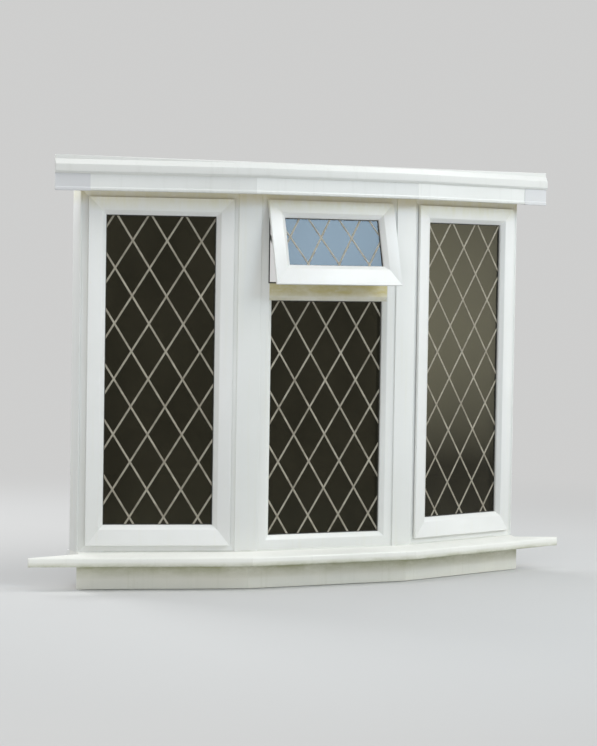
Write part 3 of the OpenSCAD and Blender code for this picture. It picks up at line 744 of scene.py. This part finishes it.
def latticeTree():
    # two families of strips that cross at the diamonds' corners, cut to the pane,
    # with a joint at each crossing
    tree = bpy.data.node_groups.new("diamondLead", "GeometryNodeTree")
    for name, kind in (
        ("Width", "Float"), ("Height", "Float"), ("Step X", "Float"), ("Step Z", "Float"),
        ("Offset X", "Float"), ("Offset Z", "Float"), ("Strip", "Float"), ("Rise", "Float"),
        ("Joint", "Float"), ("Lines", "Int"), ("Finish", "Material"),
    ):
        tree.interface.new_socket(name, in_out="INPUT", socket_type=f"NodeSocket{kind}")
    tree.interface.new_socket("Geometry", in_out="OUTPUT", socket_type="NodeSocketGeometry")
    given = tree.nodes.new("NodeGroupInput").outputs

    def reckon(a, b, operation):
        return addNode(tree, "ShaderNodeMath", {0: a, 1: b}, operation=operation).outputs[0]

    def vector(x, y, z):
        return addNode(tree, "ShaderNodeCombineXYZ", {0: x, 1: y, 2: z}).outputs[0]

    def moved(geometry, **change):
        inputs = {"Geometry": geometry}
        inputs.update((key.capitalize(), value) for key, value in change.items())
        return addNode(tree, "GeometryNodeTransform", inputs).outputs[0]

    def onPoints(points, instance, turn=(0.0, 0.0, 0.0)):
        return addNode(tree, "GeometryNodeInstanceOnPoints", {
            "Points": points, "Instance": instance, "Rotation": turn,
        }).outputs[0]

    # one strip: a half round section run along X, its flat side on the glass
    arc = addNode(tree, "GeometryNodeCurveArc", {
        "Resolution": lattice["arcPoints"], "Radius": 1.0,
        "Start Angle": 0.0, "Sweep Angle": math.pi,
    }).outputs[0]
    closed = addNode(tree, "GeometryNodeSetSplineCyclic", {
        "Geometry": arc, "Cyclic": True,
    }).outputs[0]
    halfStrip = reckon(given["Strip"], 0.5, "MULTIPLY")
    section = moved(closed, scale=vector(halfStrip, given["Rise"], 1.0))
    span = reckon(given["Width"], given["Height"], "ADD")
    path = addNode(tree, "GeometryNodeCurvePrimitiveLine", {
        "Start": vector(reckon(span, -1.0, "MULTIPLY"), 0.0, 0.0), "End": vector(span, 0.0, 0.0),
    }).outputs[0]
    strip = addNode(tree, "GeometryNodeCurveToMesh", {
        "Curve": path, "Profile Curve": section, "Fill Caps": True,
    }).outputs[0]
    flat = moved(strip, rotation=(-math.pi / 2, 0.0, 0.0))

    # a row of them one step apart, leaning each way, cut to the pane
    gaps = reckon(given["Lines"], -1.0, "ADD")
    halfRow = reckon(reckon(gaps, 0.5, "MULTIPLY"), given["Step X"], "MULTIPLY")
    first = reckon(given["Offset X"], halfRow, "SUBTRACT")
    row = addNode(tree, "GeometryNodeMeshLine", {
        "Count": given["Lines"], "Offset": vector(given["Step X"], 0.0, 0.0),
        "Start Location": vector(first, 0.0, given["Offset Z"]),
    }, mode="OFFSET").outputs[0]
    slope = reckon(given["Step Z"], given["Step X"], "DIVIDE")
    angle = addNode(tree, "ShaderNodeMath", {0: slope}, operation="ARCTANGENT").outputs[0]
    size = vector(given["Width"], lattice["cutter"], given["Height"])
    pane = addNode(tree, "GeometryNodeMeshCube", {"Size": size}).outputs[0]
    join = tree.nodes.new("GeometryNodeJoinGeometry")
    for sign in (1.0, -1.0):
        laid = onPoints(row, flat, vector(0.0, reckon(angle, sign, "MULTIPLY"), 0.0))
        real = addNode(tree, "GeometryNodeRealizeInstances", {0: laid}).outputs[0]
        cut = addNode(tree, "GeometryNodeMeshBoolean", operation="INTERSECT")
        tree.links.new(real, cut.inputs["Mesh 2"])
        tree.links.new(pane, cut.inputs["Mesh 2"])
        tree.links.new(cut.outputs[0], join.inputs[0])

    # a low round joint on each crossing that lies well inside the pane
    button = addNode(tree, "GeometryNodeMeshCylinder", {
        "Vertices": lattice["jointSides"], "Radius": 1.0, "Depth": 1.0,
    }).outputs[0]
    tall = reckon(given["Rise"], lattice["jointRise"], "MULTIPLY")
    button = moved(
        button, rotation=(math.pi / 2, 0.0, 0.0),
        scale=vector(given["Joint"], given["Joint"], tall),
        translation=vector(0.0, reckon(tall, -0.5, "MULTIPLY"), 0.0)
    )
    for shift in (0.0, 0.5):
        grid = addNode(tree, "GeometryNodeMeshGrid", {
            "Size X": reckon(gaps, given["Step X"], "MULTIPLY"),
            "Size Y": reckon(gaps, given["Step Z"], "MULTIPLY"),
            "Vertices X": given["Lines"], "Vertices Y": given["Lines"],
        }).outputs[0]
        across = reckon(given["Offset X"], reckon(given["Step X"], shift, "MULTIPLY"), "ADD")
        upward = reckon(given["Offset Z"], reckon(given["Step Z"], shift, "MULTIPLY"), "ADD")
        stood = moved(
            grid, rotation=(math.pi / 2, 0.0, 0.0), translation=vector(across, 0.0, upward)
        )
        position = tree.nodes.new("GeometryNodeInputPosition").outputs[0]
        place = addNode(tree, "ShaderNodeSeparateXYZ", {0: position}).outputs
        far = []
        for axis, size in ((0, "Width"), (2, "Height")):
            away = addNode(tree, "ShaderNodeMath", {0: place[axis]}, operation="ABSOLUTE")
            limit = reckon(reckon(given[size], 0.5, "MULTIPLY"), given["Joint"], "SUBTRACT")
            far.append(reckon(away.outputs[0], limit, "GREATER_THAN"))
        kept = addNode(tree, "GeometryNodeDeleteGeometry", {
            "Geometry": stood, "Selection": reckon(far[0], far[1], "MAXIMUM"),
        }).outputs[0]
        tree.links.new(onPoints(kept, button), join.inputs[0])
    real = addNode(tree, "GeometryNodeRealizeInstances", {0: join.outputs[0]}).outputs[0]
    done = addNode(tree, "GeometryNodeSetMaterial", {
        "Geometry": real, "Material": given["Finish"],
    }).outputs[0]
    tree.links.new(done, tree.nodes.new("NodeGroupOutput").inputs[0])
    return tree


def runTree(name, tree, values):
    # evaluates a tree with its inputs set, and gives back a plain mesh
    holder = bpy.data.objects.new(name, bpy.data.meshes.new(name))
    bpy.context.scene.collection.objects.link(holder)
    modifier = holder.modifiers.new("tree", "NODES")
    modifier.node_group = tree
    for item in tree.interface.items_tree:
        if item.in_out == "INPUT" and item.name in values:
            modifier[item.identifier] = values[item.name]
    return plainMesh(holder)


leadTree = latticeTree()
for pane, (place, day) in days.items():
    inset = glazing["gasket"]
    width, height = day[2] - day[0] - 2 * inset, day[3] - day[1] - 2 * inset
    glassY = (paneFrame if pane == "centre" else sashSizes)["glassY"]
    middle = ((day[0] + day[2]) / 2, (day[1] + day[3]) / 2)
    offsetX, offsetZ = lattice["offset"][pane]
    stepX, stepZ = lattice["stepX"][pane], lattice["stepZ"]
    crossed = math.ceil((width / stepX + height / stepZ) / 2)
    for part, y, outward in (
        ("front", glassY + seat, 1), ("cavity", glassY + seat + glazing["pane"], -1),
    ):
        mesh = runTree(f"{pane}Lead_{part}", leadTree, {
            "Width": width, "Height": height, "Step X": stepX, "Step Z": stepZ,
            "Offset X": offsetX * outward, "Offset Z": offsetZ,
            "Strip": lattice["strip"], "Rise": lattice["rise"], "Joint": lattice["joint"],
            "Lines": 2 * crossed + lattice["spareLines"],
            "Finish": leadStrip,
        })
        turn = Matrix.Identity(4) if outward > 0 else Matrix.Rotation(math.pi, 4, "Z")
        mesh.transform(place @ Matrix.Translation((middle[0], y, middle[1])) @ turn)
        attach(newPiece(f"{pane}Lead_{part}", mesh, leadStrip, 30), "root")
print("lead lattice made")


runs = {  # out is how far a piece's front stands out from the lights' faces
    "sillOut": 89 * mm, "sillFall": 12 * mm, "noseDrop": 14 * mm, "noseFoot": 8 * mm,
    "noseBack": 14 * mm, "throat": 6 * mm,
    "apronOut": 31 * mm, "apronT": 12 * mm,
    "fasciaOut": 66 * mm, "fasciaT": 15 * mm,
    "beadTop": 9 * mm, "beadEnd": 13 * mm, "beadProud": 2 * mm,  # the bead along the fascia's foot
}
trim = {
    "sealant": 4 * mm, "sealantFoot": 0.14, "sealantHollow": 0.9, "sealantSteps": 6,
    # the sleeve over each end of the fascia
    "coverLength": 118 * mm, "coverProud": 1.5 * mm, "coverLap": 7 * mm,
}
rails = {  # how far a profile is run along each facet before it is cut to its plan
    "left": (-1.4, 0.2), "centre": (-0.6, 0.6), "right": (-0.2, 1.4),
}
planHeights = (-1, 3)


def planSpace(side, endX, wallX=None, back=0.0):
    # the plan that a run is cut to: its mitre, its end, and the wall's face or opening
    past, gap = 0.1, seat / 2
    if side == "centre":
        a, b = mitre(past, -gap), mitre(-past, -gap)
        return [(-b.x, b.y), (-a.x, a.y), tuple(a), tuple(b)]
    start, end = mitre(past, gap), mitre(-bay["proj"] - back, gap)
    points = [tuple(start), (endX, start.y), (endX, 0)]
    if wallX:
        points += [(wallX, 0), (wallX, back)]
    points.append(tuple(end))
    return points if side == "right" else [(-x, y) for x, y in reversed(points)]


def endSpace(side, startX, endX):
    # the plan of a short piece at the far end of a run
    sign = 1 if side == "right" else -1
    return [(sign * startX, -1), (sign * endX, -1), (sign * endX, 0), (sign * startX, 0)]


def addRun(side, name, profile, node, finish, endX, wallX=None, back=0.0, startX=None):
    # a profile of (out, up) run along one facet of the bay
    rail = prismMesh("rail", [(-p.x, p.y) for p in profile], *rails[side], "X")
    rail.transform(facetPlace(side))
    outline = endSpace(side, startX, endX) if startX else planSpace(side, endX, wallX, back)
    plan = prismMesh("plan", outline, *planHeights)
    piece = newPiece(name, keepInside(rail, plan, name, finish), finish)
    if node:
        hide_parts(node)
    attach(piece, "root")


def sillProfile():
    r, top, low = runs, bay["frameZ"], bay["sillZ"]
    out, back = r["sillOut"], r["sillOut"] - r["noseBack"]
    return roundOff([
        (-bay["depth"], low, 0), (-bay["depth"], top, 0), (0, top, 0),
        (out, top - r["sillFall"], 7 * mm), (out, low - r["noseDrop"], 5 * mm),
        (out - r["noseFoot"], low - r["noseDrop"], 3 * mm),
        (back, low - r["throat"], 2 * mm), (back, low, 2 * mm),
    ])


def apronProfile():
    out, low, top = runs["apronOut"], bay["bottomZ"], bay["sillZ"] - seat
    back = out - runs["apronT"]
    return roundOff([(back, low, 1 * mm), (out, low, 4 * mm), (out, top, 0), (back, top, 0)])


def fasciaProfile():
    out, low, top = runs["fasciaOut"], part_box("fascia_centre")[0].z, bay["roofZ"]
    face, back = out - runs["beadProud"], out - runs["fasciaT"]
    return roundOff([
        (back, low, 1 * mm), (out, low, 3 * mm), (out, low + runs["beadTop"], 2 * mm),
        (face, low + runs["beadEnd"], 2 * mm), (face, top, 0), (back, top, 0),
    ])


def coverProfile():
    # a thin skin over the fascia's profile
    out, low, top = runs["fasciaOut"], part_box("fascia_centre")[0].z, bay["roofZ"] - seat
    t, lap, step = trim["coverProud"], trim["coverLap"], runs["beadProud"]
    bead, face = low + runs["beadTop"], low + runs["beadEnd"]
    return roundOff([
        (out - lap, low - t, 0), (out + t, low - t, 3 * mm), (out + t, bead, 2 * mm),
        (out + t - step, face, 2 * mm), (out + t - step, top, 0),
        (out - step + seat, top, 0), (out - step + seat, face, 1.5 * mm),
        (out + seat, bead, 1.5 * mm),
        (out + seat, low - seat, 2.5 * mm), (out - lap, low - seat, 0),
    ])


def sealantProfile():
    # a hollow cove along the frames' feet
    leg, foot, hollow = trim["sealant"], bay["frameZ"], trim["sealantHollow"]
    points = [Vector((seat, foot + seat)), Vector((leg, foot - trim["sealantFoot"] * leg + seat))]
    for k in range(1, trim["sealantSteps"]):
        a = math.pi / 2 * k / trim["sealantSteps"]
        out, up = leg * (1 - hollow * math.sin(a)), foot + leg * (1 - hollow * math.cos(a))
        points.append(Vector((out, up)))
    return points + [Vector((seat, foot + leg))]


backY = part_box("base_board")[1].y
coverStart = bay["fasciaX"] - trim["coverLength"]
for side in ("left", "centre", "right"):
    addRun(
        side, f"{side}Sill", sillProfile(), f"sill_{side}", sillWhite,
        bay["hornX"], bay["jambX"], backY
    )
    addRun(
        side, f"{side}Apron", apronProfile(), f"apron_{side}", apronWhite,
        bay["hornX"]
    )
    addRun(
        side, f"{side}Fascia", fasciaProfile(), f"fascia_{side}", fasciaWhite,
        bay["fasciaX"]
    )
    addRun(side, f"{side}Sealant", sealantProfile(), None, sealant, bay["jambX"])
    if side != "centre":
        addRun(
            side, f"{side}FasciaCover", coverProfile(), None, coverWhite, bay["fasciaX"],
            startX=coverStart
        )
for node, name, finish, slot, width in (
    ("roof_cover", "roofCover", roofWhite, "roof_white", 2.5 * mm),
    ("bottom_soffit", "bottomSoffit", apronWhite, "apron_white", 1.0 * mm),
    ("window_board", "windowBoard", innerWhite, "board_white", 2.0 * mm),
    ("base_board", "baseBoard", plywood, "timber", 0.8 * mm),
    ("head_board", "headBoard", plywood, "timber", 0.8 * mm),
    ("roof_core", "roofCore", plywood, "timber", 0.8 * mm),
    ("fixing_rail", "fixingRail", sawnTimber, "timber", 1.5 * mm),
    ("bracket_left", "leftBracket", sawnTimber, "timber", 1.5 * mm),
    ("bracket_right", "rightBracket", sawnTimber, "timber", 1.5 * mm),
    ("vent_stay_left", "leftStay", staySteel, "stay_steel", 0.4 * mm),
    ("vent_stay_right", "rightStay", staySteel, "stay_steel", 0.4 * mm),
    ("vent_handle", "ventHandle", innerWhite, "handle_white", 2.0 * mm),
):
    piece = softCopy(node, name, finish, width)
    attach(piece, "root")
print("sill, apron, fascia and roof made")


studio = {
    "eye": (-3.99, -7.899, 1.08), "aim": (-0.075, -0.06, 0.72),
    "lens": 116, "roll": math.radians(0.93), "clipEnd": 200,
    "sky": (0.95, 0.98, 1.0, 1), "skyLevel": 0.42,  # soft light from all round
    "backdrop": (0.62, 0.62, 0.615, 1),  # what stands behind the bay, also seen in its glass
    "floor": (0.63, 0.63, 0.625, 1), "floorHalf": 40, "floorGap": 1 * mm,
    "fadeFrom": 1.3, "fadeTo": 5.0,  # metres from the middle, where floor turns into backdrop
}
scene = bpy.context.scene
camera = bpy.data.objects.new("camera", bpy.data.cameras.new("camera"))
scene.collection.objects.link(camera)
camera.location = studio["eye"]
look = (Vector(studio["aim"]) - Vector(studio["eye"])).to_track_quat("-Z", "Y").to_matrix()
camera.rotation_euler = (look @ Matrix.Rotation(studio["roll"], 3, "Z")).to_euler()
camera.data.lens = studio["lens"]
camera.data.clip_end = studio["clipEnd"]
scene.camera = camera


def seesBackdrop(tree):
    # 1 for the rays that should see the pale backdrop
    rays = tree.nodes.new("ShaderNodeLightPath").outputs
    seen = greater(tree, rays["Is Camera Ray"], rays["Is Glossy Ray"])
    return greater(tree, seen, rays["Is Transmission Ray"])


def backdropShader(tree, kind):
    # soft light for the rays that only light things, and the backdrop for those that see it
    soft = addNode(tree, kind, {"Color": studio["sky"], "Strength": studio["skyLevel"]}).outputs[0]
    pale = addNode(tree, kind, {"Color": studio["backdrop"], "Strength": 1.0}).outputs[0]
    return addNode(tree, "ShaderNodeMixShader", {
        0: seesBackdrop(tree), 1: soft, 2: pale,
    }).outputs[0]


world = bpy.data.worlds.new("studio")
world.use_nodes = True
scene.world = world
world.node_tree.nodes.clear()
sky = backdropShader(world.node_tree, "ShaderNodeBackground")
world.node_tree.links.new(sky, addNode(world.node_tree, "ShaderNodeOutputWorld").inputs[0])

floorFinish, tree, shader = newFinish("studioFloor")
clouds, darker = noise(tree, objectCoords(tree), 1.5), shade(studio["floor"], 0.98)
tree.links.new(blend(tree, clouds, studio["floor"], darker), shader.inputs["Base Color"])
shader.inputs["Roughness"].default_value = 0.9
shader.inputs["Specular IOR Level"].default_value = 0.0
away = addNode(tree, "ShaderNodeVectorMath", {0: objectCoords(tree)}, operation="LENGTH")
fade = addNode(tree, "ShaderNodeMapRange", {
    "Value": away.outputs["Value"],
    "From Min": studio["fadeFrom"], "From Max": studio["fadeTo"],
}, interpolation_type="SMOOTHSTEP").outputs[0]
far = backdropShader(tree, "ShaderNodeEmission")
faded = addNode(tree, "ShaderNodeMixShader", {0: fade, 1: shader.outputs[0], 2: far}).outputs[0]
tree.links.new(faded, tree.nodes["Material Output"].inputs[0])
shape = bmesh.new()
bmesh.ops.create_grid(shape, x_segments=1, y_segments=1, size=studio["floorHalf"])
floorPlace = Matrix.Translation((0, 0, bay["bottomZ"] - studio["floorGap"]))
floor = newPiece("floor", asMesh(shape, "floor", floorPlace), floorFinish)
if floor.data.polygons[0].normal.z < 0:
    floor.data.flip_normals()

panels = {
    "keyPanel": {
        "at": (4.90, -3.43, 5.21), "aim": (0, 0, 0.7), "size": (4.5, 4.5),
        "watts": 267, "colour": (1.0, 0.985, 0.95),
    },
    "topPanel": {
        "at": (-1.90, -0.90, 5.30), "aim": (0, 0, 1.2), "size": (3.0, 3.0),
        "watts": 90, "colour": (1.0, 1.0, 1.0),
    },
    "lowPanel": {
        "at": (-3.30, -3.90, 0.70), "aim": (0, 0, 0.6), "size": (2.5, 1.3),
        "watts": 31, "colour": (1.0, 0.99, 0.95),
    },
    "skyPanel": {  # what the tilted vent mirrors
        "at": (2.07, -3.65, 3.26), "aim": (0, -0.2, 1.2), "size": (1.8, 1.3),
        "watts": 72, "colour": (0.56, 0.79, 1.0), "vignette": True,
    },
    "sidePanel": {  # what the right pane mirrors
        "at": (4.95, -2.52, 0.90), "aim": (0.60, -0.06, 0.73), "size": (2.4, 1.85),
        "watts": 47, "colour": (1.0, 0.99, 0.88), "vignette": True,
    },
    "backPanel": {
        "at": (-2.0, 5.0, 3.2), "aim": (0, 0, 0.7), "size": (3.0, 2.0),
        "watts": 160, "colour": (0.97, 0.98, 1.0),
    },
}


def addPanel(name, at, aim, size, watts, colour, vignette=False):
    # a soft box, evenly lit or falling off towards its edges
    data = bpy.data.lights.new(name, "AREA")
    data.shape, data.size, data.size_y = "RECTANGLE", size[0], size[1]
    data.energy, data.color = watts, colour
    if vignette:
        data.use_nodes = True
        tree = data.node_tree
        spot = tree.nodes.new("ShaderNodeNewGeometry").outputs["Parametric"]
        across = addNode(tree, "ShaderNodeSeparateXYZ", {0: spot}).outputs
        humps = []
        for axis in (0, 1):
            rest = addNode(tree, "ShaderNodeMath", {0: 1.0, 1: across[axis]}, operation="SUBTRACT")
            humps.append(times(tree, times(tree, across[axis], rest.outputs[0]), 4.0))
        tree.links.new(times(tree, *humps), tree.nodes["Emission"].inputs["Strength"])
    panel = bpy.data.objects.new(name, data)
    scene.collection.objects.link(panel)
    panel.location = at
    panel.rotation_euler = (Vector(aim) - Vector(at)).to_track_quat("-Z", "Y").to_euler()
    panel.visible_camera = False


for name, panel in panels.items():
    addPanel(name, **panel)

scene.view_settings.view_transform = "Standard"
print("scene ready")
